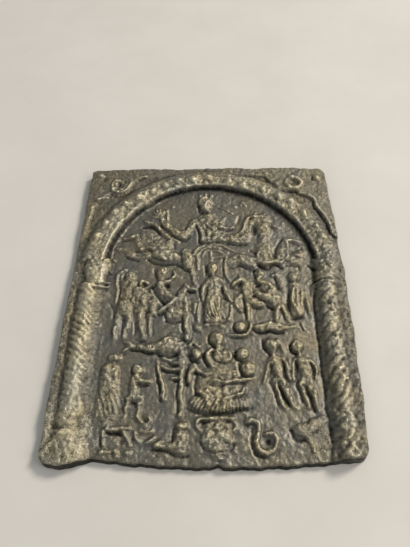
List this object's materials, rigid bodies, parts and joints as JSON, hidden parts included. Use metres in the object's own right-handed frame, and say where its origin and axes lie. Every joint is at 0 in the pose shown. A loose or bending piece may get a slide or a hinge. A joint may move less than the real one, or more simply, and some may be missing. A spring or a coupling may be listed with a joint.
{
  "type": "relief plaque",
  "caption": "Small cast lead votive plaque with figures in low relief in an arched niche between twisted columns, lying on its flat back.",
  "frame": {"origin": "middle of the flat back, below the centre of the plaque's bounding box", "axes": "+X to the right across the face as it is read, +Y to the plaque's arched top, +Z out of the relief face"},
  "size_m": [0.0726, 0.0876, 0.005],
  "materials": {
    "lead": null
  },
  "bodies": {
    "root": {"plaque": "lead"}
  },
  "joints": []
}
